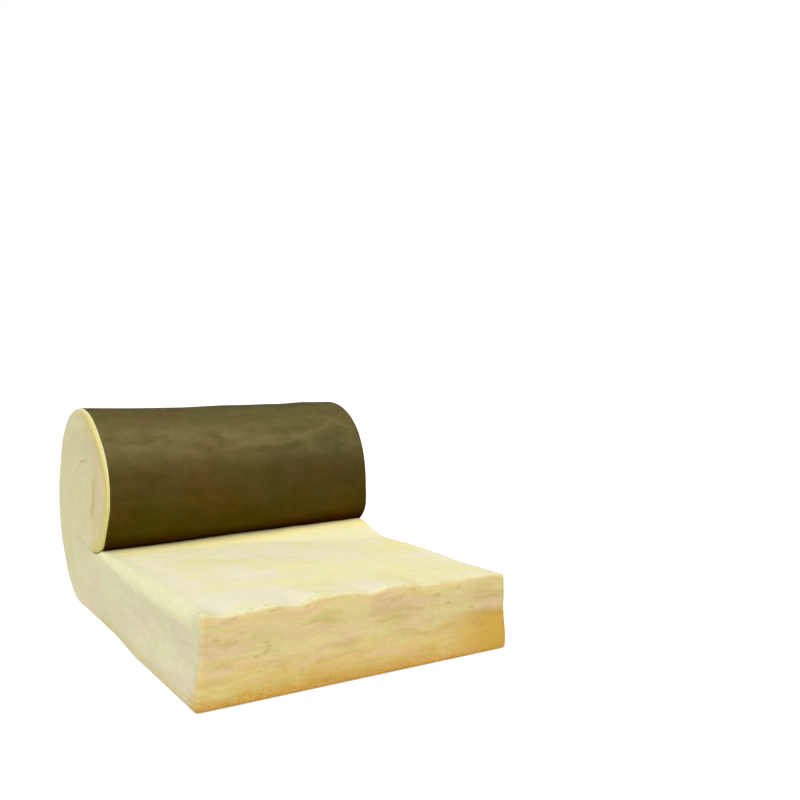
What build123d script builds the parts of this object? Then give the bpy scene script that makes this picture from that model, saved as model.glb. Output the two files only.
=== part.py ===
from build123d import *
from math import asin, degrees
import os

# A strip of faced glass wool, partly unrolled: flat at the front, wound up at the back.
# X runs across the strip, +Y from the cut front end towards the roll, and +Z up.
# The origin is on the floor, at the middle of the strip's footprint. Millimetres.

# The strip as it lies flat
strip_width = 600.0
flat_thickness = 140.0  # wool and facing together
facing_thickness = 1.0
flat_length = 671.0  # from the cut front end to where the roll's foot leaves the floor
front_edge_round = 7.0  # the bare wool's soft upper edge at the cut front end

# The roll's outer turn, as quarter arcs of its outside
foot_radius = 218.0  # from the floor up to the back
crown_back_radius = 210.0  # from the back up to the top
crown_front_radius = 186.0  # from the top down to the front
roll_gap = 0.5  # air between a turn and the turn inside it

# How thick the winding leaves the wool, around the outer turn and where it folds back inside
back_layer = 125.0
top_layer = 112.0
front_layer = 108.0
fold_layer = 70.0

# The inner turn, which the outer one wraps closely
inner_front_radius = 38.0
heel_radius = 11.0  # bare side, where the outer turn passes into the inner one
fold_gap = 2.0  # the slit where the innermost layer folds back on itself
end_setback = 2.5  # how far the strip's inner cut end stops short of the outer turn

# Where the outside of the outer turn reaches, as (Y, Z) in the strip's section
front_end = -(flat_length + foot_radius) / 2
foot = front_end + flat_length
back = foot + foot_radius
top = foot_radius + crown_back_radius
nose = back - crown_back_radius - crown_front_radius
nose_height = top - crown_front_radius
nose_radius = nose_height - flat_thickness - roll_gap

# The space that the outer turn leaves for the inner one
space_back = back - facing_thickness - back_layer
space_top = top - facing_thickness - top_layer
space_front = nose + facing_thickness + front_layer
inner_back_radius = space_back - space_front - inner_front_radius
inner_foot_radius = space_top - inner_back_radius - flat_thickness
inner_foot = space_back - inner_foot_radius

# The slit inside the fold, halfway up that space, and the strip's inner cut end
wound_skin = roll_gap + facing_thickness
slit_middle = (flat_thickness + space_top) / 2
slit_bottom = slit_middle - fold_gap / 2
slit_top = slit_bottom + fold_gap
slit_back = space_back - wound_skin - fold_layer - fold_gap / 2
inner_end = space_front + wound_skin + end_setback

quarter_turn = 90.0  # degrees


def wound_side(depth):
    """Draws the strip's faced side at a depth under the facing's outer surface.

    The line runs from the cut front end along the floor, up the back of the roll, over its
    top, down its front and once more round inside it, to the strip's inner cut end. Each arc
    is tangent to the one before. Returns the line's first and last points.
    """
    inner_depth = depth + roll_gap
    end_arc_radius = inner_front_radius - inner_depth
    end_arc_reach = space_front + inner_front_radius - inner_end
    end_arc_size = degrees(asin(end_arc_reach / end_arc_radius))
    floor_line = Line((front_end, depth), (foot, depth))
    foot_arc = JernArc(floor_line @ 1, (1, 0), foot_radius - depth, quarter_turn)
    crown_back = JernArc(foot_arc @ 1, (0, 1), crown_back_radius - depth, quarter_turn)
    crown_front = JernArc(crown_back @ 1, (-1, 0), crown_front_radius - depth, quarter_turn)
    nose_arc = JernArc(crown_front @ 1, (0, -1), nose_radius - depth, quarter_turn)
    pressed_line = Line(nose_arc @ 1, (inner_foot, flat_thickness + inner_depth))
    inner_foot_arc = JernArc(pressed_line @ 1, (1, 0), inner_foot_radius - inner_depth, quarter_turn)
    inner_back_arc = JernArc(inner_foot_arc @ 1, (0, 1), inner_back_radius - inner_depth, quarter_turn)
    inner_front_arc = JernArc(inner_back_arc @ 1, (-1, 0), end_arc_radius, end_arc_size)
    return floor_line @ 0, inner_front_arc @ 1


def bare_side():
    """Draws the strip's bare side, from the inner cut end back to the cut front end.

    It goes along the slit to the fold and back, round the heel, up and over inside the outer
    turn, and out along the top of the flat part. Returns the line's first and last points.
    """
    slit_roof = Line((inner_end, slit_top), (slit_back, slit_top))
    fold_arc = JernArc(slit_roof @ 1, (1, 0), fold_gap / 2, -2 * quarter_turn)
    slit_floor = Line(fold_arc @ 1, (space_front + heel_radius, slit_bottom))
    heel_arc = JernArc(slit_floor @ 1, (-1, 0), heel_radius, -quarter_turn)
    front_wall = Line(heel_arc @ 1, (space_front, space_top - inner_front_radius))
    front_arc = JernArc(front_wall @ 1, (0, 1), inner_front_radius, -quarter_turn)
    back_arc = JernArc(front_arc @ 1, (1, 0), inner_back_radius, -quarter_turn)
    foot_arc = JernArc(back_arc @ 1, (0, -1), inner_foot_radius, -quarter_turn)
    flat_top = Line(foot_arc @ 1, (front_end, flat_thickness))
    return slit_roof @ 0, flat_top @ 1


# The wool: one strip, flat and then wound, the whole section swept across its width
with BuildPart() as wool_mat:
    with BuildSketch(Plane.YZ):
        with BuildLine():
            wool_front_foot, wool_inner_tip = wound_side(facing_thickness)
            bare_start, bare_end = bare_side()
            Line(wool_inner_tip, bare_start)
            Line(bare_end, wool_front_foot)
        make_face()
    extrude(amount=strip_width / 2, both=True)
    front_edges = wool_mat.edges().filter_by(Axis.X).group_by(Axis.Y)[0]
    fillet(front_edges.sort_by(Axis.Z)[-1], radius=front_edge_round)

# The facing: a thin fleece bonded all along the wool's other side
with BuildPart() as facing:
    with BuildSketch(Plane.YZ):
        with BuildLine():
            outer_start, outer_end = wound_side(0)
            bonded_start, bonded_end = wound_side(facing_thickness)
            Line(outer_end, bonded_end)
            Line(bonded_start, outer_start)
        make_face()
    extrude(amount=strip_width / 2, both=True)

wool_mat.part.label = "wool_mat"
facing.part.label = "facing"

os.makedirs("parts", exist_ok=True)
export_step(wool_mat.part, "parts/wool_mat.step")
export_step(facing.part, "parts/facing.step")
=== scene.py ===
"""Dresses a faced strip of glass wool, partly unrolled: flat in front, wound up behind.

Every shape is worked out in the strip's own unwound coordinates: x across the strip, s along
its facing and t from the facing (0) to the bare side (1). One winding carries them into the
frame. All lengths are metres.
"""

import functools
import itertools
import logging
import math
from collections.abc import Sequence
from dataclasses import dataclass, field
from enum import Enum

import bmesh
import bpy
import numpy as np
from mathutils import Matrix

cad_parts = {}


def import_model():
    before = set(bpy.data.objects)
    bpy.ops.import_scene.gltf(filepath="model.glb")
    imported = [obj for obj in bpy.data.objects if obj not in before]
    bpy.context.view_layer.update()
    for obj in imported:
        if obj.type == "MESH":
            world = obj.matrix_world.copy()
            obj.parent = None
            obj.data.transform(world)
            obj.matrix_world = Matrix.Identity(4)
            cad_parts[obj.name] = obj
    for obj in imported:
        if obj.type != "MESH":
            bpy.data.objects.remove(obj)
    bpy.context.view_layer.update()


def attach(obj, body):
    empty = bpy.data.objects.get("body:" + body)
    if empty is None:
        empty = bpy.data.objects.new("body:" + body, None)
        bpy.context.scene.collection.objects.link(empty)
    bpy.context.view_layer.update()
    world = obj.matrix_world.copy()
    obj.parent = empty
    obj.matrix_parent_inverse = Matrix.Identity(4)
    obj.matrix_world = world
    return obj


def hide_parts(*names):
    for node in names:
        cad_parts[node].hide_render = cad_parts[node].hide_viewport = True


LOG = logging.getLogger("insulation_roll")
Array = np.ndarray
Rgb = Triple = tuple[float, float, float]
Ends = tuple[float, float]  # the least and the most
Run = tuple[float, ...]  # places between which something rises or falls
Patch = tuple[np.ndarray, list[list[int]]]  # points and faces
Socket = bpy.types.NodeSocket
Feed = Socket | float | Triple  # what an input of a node can get

TINY = 1e-12  # keeps a length from being divided by nothing
NEAR = 1e-9  # x values closer than this are the same one
WELD_STEPS = 1e6  # coordinates that agree to one part of this are the same vertex
MATT = 0.95  # the roughness of wool and fleece

# --- Small mathematics ---

# Odd factors that scatter the bits of a lattice point's indices and seed, two rounds of mixing,
# each a shift and a factor, the bits kept of a hash and of its value, and the low bits left out
AXIS_FACTORS = (73856093, 19349663, 83492791)
SEED_FACTOR = 374761393
MIXING_ROUNDS = ((13, 1274126177), (16, 668265263))
WORD, HALF_WORD, LOW_BITS = 0xFFFFFFFF, 0xFFFF, 8
OCTAVE_SEED = 101  # what each finer octave adds to the seed


def smooth_step(values: Array, low: float, high: float) -> Array:
    """From 0 at low to 1 at high: 3 u squared minus 2 u cubed, u being the share of the way."""
    u = np.clip((values - low) / (high - low), 0.0, 1.0)
    return u * u * (3.0 - 2.0 * u)


def hill(values: Array, low: float, start: float, end: float, high: float) -> Array:
    """Rises from low to start, stays at 1 up to end and falls to 0 at high."""
    return smooth_step(values, low, start) * smooth_step(values, high, end)


def unit(vectors: Array) -> Array:
    """The vectors, each divided by its length."""
    return vectors / np.maximum(np.linalg.norm(vectors, axis=-1, keepdims=True), TINY)


def graded(length: float, step: float, edge: float, growth: float = 1.35) -> Array:
    """Stations from 0 to length: small steps at both ends grow by a fixed ratio to an even step.

    Args:
        length: how far the stations go.
        step: the even step in the middle.
        edge: the first and the last step.
        growth: how much larger each next step is, until it reaches the even one.

    Returns:
        The stations in order.
    """
    count = int(math.log(step / edge) / math.log(growth)) + 1
    ramp = np.cumsum(edge * growth ** np.arange(count))
    middle = np.linspace(ramp[-1], length - ramp[-1], round((length - 2 * ramp[-1]) / step) + 1)
    return np.concatenate([[0.0], ramp[:-1], middle, (length - ramp[:-1])[::-1], [length]])


@dataclass(frozen=True)
class Profile:
    """A line that goes through given heights at given stations."""

    stations: tuple[float, ...]
    heights: tuple[float, ...]

    def at(self, values: Array) -> Array:
        """The height at each value: a smooth step from one station's height to the next one's.

        Args:
            values: places along the line, level beyond its first and last stations.

        Returns:
            The heights.
        """
        place = np.interp(values, self.stations, np.arange(len(self.stations)))
        whole = np.minimum(place.astype(int), len(self.stations) - 2)
        ease = smooth_step(place - whole, 0.0, 1.0)
        heights = np.array(self.heights)
        return heights[whole] * (1.0 - ease) + heights[whole + 1] * ease


def lattice_noise(points: Array, seed: int) -> Array:
    """Smooth noise from -1 to 1 in three directions.

    Each whole-number lattice point gets a value from a hash of its three indices and the seed.
    A point's noise is the mean of its cell's eight corners, weighted by the product of the
    cubic ease 3 u squared minus 2 u cubed in each direction.

    Args:
        points: an array whose last axis holds three coordinates, in cells.
        seed: picks the pattern.

    Returns:
        An array without the last axis.
    """
    cell = np.floor(points).astype(np.int64)
    ease = smooth_step(points - cell, 0.0, 1.0)
    total = np.zeros(points.shape[:-1])
    for corner in itertools.product((0, 1), repeat=3):
        key = np.bitwise_xor.reduce((cell + corner) * AXIS_FACTORS, axis=-1)
        key = (key ^ seed * SEED_FACTOR) & WORD
        for shift, factor in MIXING_ROUNDS:
            key = (key ^ key >> shift) * factor & WORD
        value = (key >> LOW_BITS & HALF_WORD) / (HALF_WORD / 2) - 1.0
        total += value * np.prod(np.where(np.array(corner) == 1, ease, 1.0 - ease), axis=-1)
    return total


@dataclass(frozen=True)
class Relief:
    """Uneven heights: octaves of lattice noise, each half as large and strong as the last."""

    height: float
    cells: Ends
    seed: int
    octaves: int = 3

    def at(self, first: Array, second: Array, shift: int = 0) -> Array:
        """The height at each point, from about minus to plus the relief's height.

        Args:
            first: one coordinate, in metres.
            second: the other coordinate, in metres.
            shift: what is added to the seed, for another pattern of the same kind.

        Returns:
            The heights.
        """
        flat = np.zeros_like(first)
        scaled = np.stack([first / self.cells[0], second / self.cells[1], flat], axis=-1)
        total = sum(
            lattice_noise(scaled * 2.0**k, self.seed + shift + OCTAVE_SEED * k) * 0.5**k
            for k in range(self.octaves)
        )
        return self.height * (total / (2.0 - 0.5 ** (self.octaves - 1)))


# --- The strip's winding ---


def arc(centre: Sequence[float], radius: float, start: float, turn: float, share: Array) -> Array:
    """Points: centre plus radius times cosine and sine of start plus turn times share, degrees."""
    angle = np.radians(start + turn * share)
    return np.array(centre) + radius * np.stack([np.cos(angle), np.sin(angle)], axis=-1)


def line(start: Sequence[float], end: Sequence[float], share: Array) -> Array:
    """Points of a straight run: the start plus the share of the way to the end."""
    return np.array(start) + share[:, None] * (np.array(end) - np.array(start))


@dataclass(frozen=True)
class Winding:
    """The strip's section in the frame: nine runs of its faced side, each with its bare side.

    The faced side is a floor line, four quarter arcs round the outside of the roll, a line
    pressed on the flat part, and three arcs round inside. Each run's bare side is the stretch
    that lies across the wool from it. The sizes are the solids' own, but here the soft layers
    close the slit of the fold and the room left at the strip's inner end.
    """

    width: float = 0.600
    flat_thickness: float = 0.140
    facing_thickness: float = 0.001
    flat_length: float = 0.671
    foot_radius: float = 0.218
    crown_back_radius: float = 0.210
    crown_front_radius: float = 0.186
    roll_gap: float = 0.0005
    back_layer: float = 0.125
    top_layer: float = 0.112
    front_layer: float = 0.108
    fold_layer: float = 0.070
    inner_front_radius: float = 0.038
    heel_radius: float = 0.011
    fold_gap: float = 0.0002
    end_setback: float = 0.0006
    samples: int = 161
    stations: Array = field(init=False, repr=False)
    table: Array = field(init=False, repr=False)

    def __post_init__(self) -> None:
        """Tabulates s, the faced point, its outward normal and the bare point."""
        share = np.linspace(0.0, 1.0, self.samples)
        runs = self._runs(share)
        lengths = [np.linalg.norm(np.diff(faced, axis=0), axis=1).sum() for faced, _, _ in runs]
        ends = np.concatenate([[0.0], np.cumsum(lengths)])
        rows = [
            np.column_stack([low + share * (high - low), *run])
            for low, high, run in zip(ends[:-1], ends[1:], runs, strict=True)
        ]
        object.__setattr__(self, "stations", ends)
        object.__setattr__(self, "table", np.concatenate(rows))

    @property
    def length(self) -> float:
        """The whole strip's length along its facing."""
        return float(self.stations[-1])

    @property
    def front_end(self) -> float:
        """The y of the flat part's cut front end."""
        return -(self.flat_length + self.foot_radius) / 2

    @property
    def contact(self) -> float:
        """The s at which the roll's front comes down on the flat part."""
        return float(self.stations[5])

    @property
    def nose(self) -> tuple[float, float, float]:
        """The arc of the roll's front that comes down on the flat part, as its y, z and radius."""
        height = self.foot_radius + self.crown_back_radius - self.crown_front_radius
        radius = height - self.flat_thickness - self.roll_gap
        back = self.front_end + self.flat_length + self.foot_radius
        return back - self.crown_back_radius - self.crown_front_radius + radius, height, radius

    def _runs(self, share: Array) -> list[tuple[Array, Array, Array]]:
        """Lays out the nine runs.

        Args:
            share: how far along its run each point is, from 0 to 1.

        Returns:
            Each run's faced points, their outward normals and its bare points.
        """
        # The roll's outside, and the space that the outer turn leaves
        flat, gap, inner = self.flat_thickness, self.roll_gap, self.inner_front_radius
        foot = self.front_end + self.flat_length
        back, top = foot + self.foot_radius, self.foot_radius + self.crown_back_radius
        crown = back - self.crown_back_radius
        nose_y, nose_z, nose_radius = self.nose
        space_back = back - self.facing_thickness - self.back_layer
        space_top = top - self.facing_thickness - self.top_layer
        space_front = nose_y - nose_radius + self.facing_thickness + self.front_layer

        # The inner turn in that space, the slit of its fold and the strip's inner end
        back_radius = space_back - space_front - inner
        foot_radius = space_top - back_radius - flat
        inner_foot, inner_crown = space_back - foot_radius, space_back - back_radius
        skin = gap + self.facing_thickness
        slit = (flat + space_top) / 2
        low, high = slit - self.fold_gap / 2, slit + self.fold_gap / 2
        slit_back = space_back - skin - self.fold_layer - self.fold_gap / 2
        inner_end = space_front + skin + self.end_setback
        end_turn = math.degrees(math.asin((space_front + inner - inner_end) / (inner - gap)))
        down = np.tile([0.0, -1.0], (len(share), 1))

        def faced_arc(
            centre: Sequence[float], radius: float, start: float, turn: float = 90.0
        ) -> tuple[Array, Array]:
            """An arc's points and its outward normals, which point away from its middle."""
            normals = arc((0.0, 0.0), 1.0, start, turn, share)
            return arc(centre, radius, start, turn, share), normals

        # The middles of the inner arcs, and the front wall that goes over into the heel
        foot_middle = (inner_foot, flat + foot_radius)
        crown_middle = (inner_crown, space_top - back_radius)
        front_middle = (space_front + inner, space_top - inner)
        heel_middle = (space_front + self.heel_radius, low + self.heel_radius)
        wall = front_middle[1] - heel_middle[1]
        wall_share = wall / (wall + self.heel_radius * math.pi / 2)
        wall_ends = (space_front, front_middle[1]), (space_front, heel_middle[1])
        heel_part = (share - wall_share) / (1.0 - wall_share)
        heel = arc(heel_middle, self.heel_radius, 180.0, 90.0, heel_part)
        front_wall = line(*wall_ends, share / wall_share)
        return [
            (line((self.front_end, 0.0), (foot, 0.0), share), down,
             line((self.front_end, flat), (inner_foot, flat), share)),
            (*faced_arc((foot, self.foot_radius), self.foot_radius, -90.0),
             arc(foot_middle, foot_radius, -90.0, 90.0, share)),
            (*faced_arc((crown, self.foot_radius), self.crown_back_radius, 0.0),
             arc(crown_middle, back_radius, 0.0, 90.0, share)),
            (*faced_arc((crown, nose_z), self.crown_front_radius, 90.0),
             arc(front_middle, inner, 90.0, 90.0, share)),
            (*faced_arc((nose_y, nose_z), nose_radius, 180.0),
             np.where(share[:, None] < wall_share, front_wall, heel)),
            (line((nose_y, flat + gap), (inner_foot, flat + gap), share), down,
             line((heel_middle[0], low), (slit_back, low), share)),
            (*faced_arc(foot_middle, foot_radius - gap, -90.0),
             arc((slit_back, slit), self.fold_gap / 2, -90.0, 180.0, share)),
            (*faced_arc(crown_middle, back_radius - gap, 0.0),
             line((slit_back, high), (inner_crown, high), share)),
            (*faced_arc(front_middle, inner - gap, 90.0, end_turn),
             line((inner_crown, high), (inner_end, high), share)),
        ]

    def across(self, s: Array) -> tuple[Array, Array, Array]:
        """The section at s, read from the table by straight interpolation.

        Args:
            s: lengths along the facing, from 0 to the strip's length.

        Returns:
            The facing's outer point, its outward normal and the bare point, each (y, z).
        """
        columns = [np.interp(s, self.table[:, 0], self.table[:, k]) for k in range(1, 7)]
        outer, normal, bare = (np.stack(columns[k:k + 2], axis=-1) for k in (0, 2, 4))
        return outer, unit(normal), bare


# --- The wool's softness ---


class CutFace(Enum):
    """The strip's cut faces, each with the seed of its own unevenness."""

    LEFT = 31
    RIGHT = 41
    FRONT = 51


@dataclass(frozen=True)
class Softness:
    """How the soft strip departs from its even section, as smooth functions of x, s and t.

    The facing stops short of the wool's edges by the trims, and bare wool stands round it
    there as a rim. Each run is a stretch over which a form rises or falls, or two of them: of
    x if its name says across, of z or t if it says up, and else of s, y or the way in from an
    edge. Some are counted from a station of the roll, as the methods that use them show.
    """

    winding: Winding

    # The facing's trims, and how the left one changes round the contact; how far the wool is
    # sunk under the facing, and how far its rim stands out, outside and between two turns
    left_trim: float = 0.0055
    right_trim: float = 0.0015
    front_trim: float = 0.0060
    end_trim: float = 0.0015
    trim_run: float = 0.0025
    left_draw: Profile = Profile((-0.15, -0.09, -0.05, 0.0, 0.02), (1.0, 0.8, 1.0, 1.6, 0.2))
    sink: float = 0.0026
    rim_lift: float = 0.0008
    inner_rim_lift: float = 0.0006

    # Edges: bare, faced and between two turns, and the flat part's sagging upper ones
    edge_radius: float = 0.0065
    rim_radius: float = 0.0050
    seam_radius: float = 0.0005
    wound_run: Run = (0.50, 0.60)
    inner_run: Run = (-0.14, -0.01)
    left_sag: float = 0.0240
    right_sag: float = 0.0060
    sag_line: Profile = Profile((0.0, 0.05, 0.30, 0.58), (0.0, 1.0, 0.7, 0.0))

    # The flat part's bare side: swells, dimples and fine unevenness, its front lip and its bank
    top_reliefs: tuple[Relief, ...] = (
        Relief(0.0040, (0.19, 0.23), 11, 2),
        Relief(0.0015, (0.055, 0.05), 12),
        Relief(0.0005, (0.014, 0.012), 13),
    )
    front_lip: Profile = Profile(
        (-0.30, -0.26, -0.21, -0.175, -0.13, -0.09, -0.04, 0.00, 0.05, 0.08, 0.12, 0.17, 0.22,
         0.27, 0.30),
        (0.006, 0.000, 0.0035, 0.0055, 0.0025, 0.0085, 0.0080, 0.0035, 0.0095, 0.0080, 0.001,
         0.003, 0.005, 0.005, 0.002),
    )
    lip_run: float = 0.13
    bank: Profile = Profile(
        (-0.30, -0.15, 0.0, 0.07, 0.15, 0.24, 0.30),
        (0.0105, 0.0115, 0.0125, 0.0130, 0.0160, 0.0200, 0.0235),
    )
    bank_run: Profile = Profile((0.0, 0.20), (0.060, 0.140))
    bank_gap: float = 0.0012
    calm_run: Run = (-0.03, -0.16)

    # The roll: its top line, its flatter foot, its hollow left front, its dents and creases, how
    # its left end sinks in, and how its ends lean out and the right one splays
    top_line: Profile = Profile(
        (-0.30, -0.23, -0.10, 0.04, 0.16, 0.24, 0.30),
        (-0.0060, -0.0065, -0.0060, -0.0010, 0.0010, 0.0055, 0.0060),
    )
    top_run: Run = (-0.24, -0.04, 0.06)
    foot_dent: float = 0.0055
    foot_run: float = 0.16
    hollow: float = 0.0060
    hollow_across: Run = (-0.14, -0.30)
    hollow_start: Run = (-0.03, 0.06)
    hollow_end: Run = (-0.09, -0.03)
    roll_reliefs: tuple[Relief, ...] = (
        Relief(0.0014, (0.16, 0.11), 21, 2),
        Relief(0.0004, (0.12, 0.020), 22, 2),
    )
    roll_run: float = 0.12
    press: float = 0.0105
    press_across: Run = (0.12, -0.30)
    press_run: Run = (-0.12, -0.05, 0.02, 0.10)
    lean: float = 0.0080
    lean_across: Run = (0.12, 0.30)
    lean_up: Run = (0.27, 0.43)
    right_lean: float = 0.6
    splay: float = 0.0090
    splay_across: Run = (0.20, 0.30)
    splay_up: Run = (0.141, 0.155, 0.180, 0.25)
    splay_run: Run = (-0.03, 0.08, 0.14, 0.24)

    # The cut faces: their swell, which reaches less far in from a seam, their unevenness, the
    # step down to the facing's bed, and the flare of their foot
    side_swell: float = 0.0026
    free_reach: float = 0.070
    seam_reach: float = 0.0015
    cut_reliefs: tuple[Relief, ...] = (
        Relief(0.0016, (0.10, 0.06), 0, 2),
        Relief(0.0002, (0.035, 0.010), 1, 2),
    )
    cut_run: float = 0.010
    cut_fade: float = 0.05
    skin_up: float = 0.03
    left_flare: float = 0.0080
    left_flare_run: Run = (-0.1, 0.0, 0.26, 0.46)
    front_flare: float = 0.0080
    flare_up: float = 0.6

    @staticmethod
    def _corner(zone: Array) -> Array:
        """How much to take off each part of p to turn square corners round.

        With p the vector of how far a point lies inside each face's rounding zone, p becomes
        p times its largest part over its length.

        Args:
            zone: p, negative where a point lies outside a zone.

        Returns:
            What is taken off, like zone.
        """
        inside = np.clip(zone, 0.0, None)
        length = np.maximum(np.linalg.norm(inside, axis=-1), TINY)
        return inside * (1.0 - inside.max(axis=-1) / length)[:, None]

    def round_edges(self, brick: Array) -> Array:
        """Rounds the strip's edges: widely along the flat part, and hardly where two turns meet.

        Args:
            brick: points as (x, s, t).

        Returns:
            The rounded points as (x, s, t).
        """
        x, s, t = brick.T
        shape = self.winding
        side, front, end = shape.width / 2 - np.abs(x), s, shape.length - s
        bare, bonded = (1.0 - t) * shape.flat_thickness, t * shape.flat_thickness
        sag = self.sag_line.at(s) * np.where(x < 0.0, self.left_sag, self.right_sag)
        above = sag + self.edge_radius + (self.seam_radius - self.edge_radius) * self._wound(s)
        below = self.rim_radius + (self.seam_radius - self.rim_radius) * self._inner(s)
        upper = self._corner(above[:, None] - np.stack([side, front, bare, end], axis=-1))
        lower = self._corner(below[:, None] - np.stack([side, front, bonded, end], axis=-1))
        high = t > 0.5
        moved = np.where(high[:, None], upper, lower)
        rounded = brick.copy()
        rounded[:, 0] -= np.sign(x) * moved[:, 0]
        rounded[:, 1] += moved[:, 1] - moved[:, 3]
        rounded[:, 2] += np.where(high, -moved[:, 2], moved[:, 2]) / shape.flat_thickness
        return rounded

    def _wound(self, s: Array) -> Array:
        """Where the bare side meets the inner turn: from 0 on the flat part to 1 in the roll."""
        return smooth_step(s, *self.wound_run)

    def _inner(self, s: Array) -> Array:
        """Where the faced side meets another turn: 0 outside the roll, 1 from the contact on."""
        return smooth_step(s - self.winding.contact, *self.inner_run)

    def _pressed(self, x: Array, y: Array) -> Array:
        """How far the roll's left end has sunk into the flat part beneath it."""
        under = hill(y - self.winding.nose[0], *self.press_run)
        return self.press * smooth_step(x, *self.press_across) * under

    @property
    def _bare_rate(self) -> float:
        """How fast the flat part's bare side goes along y for each metre of s."""
        table = self.winding.table
        return float((table[self.winding.samples - 1, 5] - table[0, 5]) / self.winding.stations[1])

    def flat_height(self, x: Array, s: Array) -> Array:
        """How far the bare side of the flat part stands above its even plane.

        Swells, dimples and a fine unevenness fade out before the roll, the front lip rises and
        falls along its length, and a soft bank closes the gap under the roll's front, up to
        its arc's height z minus the root of r squared minus the squared distance from its
        middle. The bank is higher and runs out further towards the right.

        Args:
            x: places across the strip.
            s: places along it.

        Returns:
            The heights, below zero where the roll has sunk in.
        """
        shape = self.winding
        swell = sum(relief.at(x, s) for relief in self.top_reliefs)
        swell += self.front_lip.at(x) * smooth_step(s, self.lip_run, 0.0)
        y = shape.front_end + s * self._bare_rate
        nose_y, nose_z, radius = shape.nose
        reach = np.minimum(np.abs(y - nose_y), radius)
        under = nose_z - np.sqrt(radius**2 - reach**2) - shape.flat_thickness - self.bank_gap
        height = self.bank.at(x)
        start = nose_y - np.sqrt(np.maximum(radius**2 - (radius - height) ** 2, 0.0))
        bank = height * smooth_step((y - start) / self.bank_run.at(x), -1.0, 0.0)
        calm = smooth_step(y - nose_y, *self.calm_run)
        raised = np.minimum(swell * calm + bank, np.maximum(under, 0.0))
        return np.where(y < nose_y, raised, 0.0) - self._pressed(x, y)

    def roll_height(self, x: Array, s: Array) -> Array:
        """How far the facing stands out of its even arcs round the roll.

        The top rises and falls along its length, the foot is a little flatter than its arc, and
        shallow dents and creases run across the strip. All fade out at the foot and where the
        roll comes down, where its left end is a little hollow and sinks into the flat part.

        Args:
            x: places across the strip.
            s: places along it.

        Returns:
            The heights.
        """
        foot, back, crown, nose, contact = self.winding.stations[1:6]
        form = self.top_line.at(x) * hill(s, *(crown + np.array(self.top_run)), nose)
        form -= self.foot_dent * hill(s, foot, foot + self.roll_run, foot + self.foot_run, back)
        start, end = nose + np.array(self.hollow_start), contact + np.array(self.hollow_end)
        form -= self.hollow * smooth_step(x, *self.hollow_across) * hill(s, *start, *end)
        form = sum((relief.at(x, s) for relief in self.roll_reliefs), start=form)
        nose_y, _, radius = self.winding.nose
        y = nose_y - radius * np.sin(np.clip((contact - s) / radius, -np.inf, math.pi / 2))
        y = np.where(s > contact, nose_y + s - contact, y)
        sunk = np.where(s > nose, self._pressed(x, y), 0.0)
        return form * hill(s, foot, foot + self.roll_run, contact - self.roll_run, contact) + sunk

    def lean_out(self, x: Array, section: Array) -> Array:
        """How far the roll's two ends lean outwards along x.

        They lean more the higher they are, and the right end splays where it comes down too.

        Args:
            x: places across the strip.
            section: the points' (y, z).

        Returns:
            What is added to x.
        """
        y, z = section.T
        lean = self.lean * np.where(x < 0.0, -1.0, self.right_lean)
        lean = lean * smooth_step(np.abs(x), *self.lean_across) * smooth_step(z, *self.lean_up)
        splay = self.splay * smooth_step(x, *self.splay_across) * hill(z, *self.splay_up)
        return lean + splay * hill(y, *self.splay_run)

    def cut_height(self, along: Array, t: Array, seam: tuple[Array, Array], face: CutFace) -> Array:
        """How far a cut face stands out: a swell, with waves and torn layers on it.

        The swell follows the root of u times (2 minus u), where u goes from 0 at an edge to 1
        further in: slowly from a free edge and at once from one that meets another turn.

        Args:
            along: where the points lie along the face, in metres.
            t: their t.
            seam: how far the faced edge and the bare edge meet another turn, from 0 to 1.
            face: which face it is.

        Returns:
            The heights, in metres.
        """
        depth = t * self.winding.flat_thickness
        swell = 1.0
        for edge, meets in zip((depth, self.winding.flat_thickness - depth), seam, strict=True):
            reach = self.free_reach * (1.0 - meets) + self.seam_reach * meets
            u = np.clip(edge / reach, 0.0, 1.0)
            swell = swell * (u * (2.0 - u))
        uneven = sum(relief.at(along, depth, face.value) for relief in self.cut_reliefs)
        ease = hill(t, 0.0, self.cut_fade, 1.0 - self.cut_fade, 1.0)
        return self.side_swell * np.sqrt(swell) + ease * uneven

    def cover(self, x: Array, s: Array) -> Array:
        """How far the facing covers a place of the faced side.

        Args:
            x: places across the strip.
            s: places along it.

        Returns:
            Shares from 0 on the bare rim to 1 under the facing.
        """
        half = self.winding.width / 2
        inside = (
            x + half - self.left_edge(s),
            half - self.right_trim - x,
            s - self.front_trim,
            self.winding.length - self.end_trim - s,
        )
        return np.prod([smooth_step(edge, 0.0, self.trim_run) for edge in inside], axis=0)

    def left_edge(self, s: Array) -> Array:
        """How far the facing stops short of the left edge; it draws in where the roll lands."""
        return self.left_trim * self.left_draw.at(s - self.winding.contact)

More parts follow.
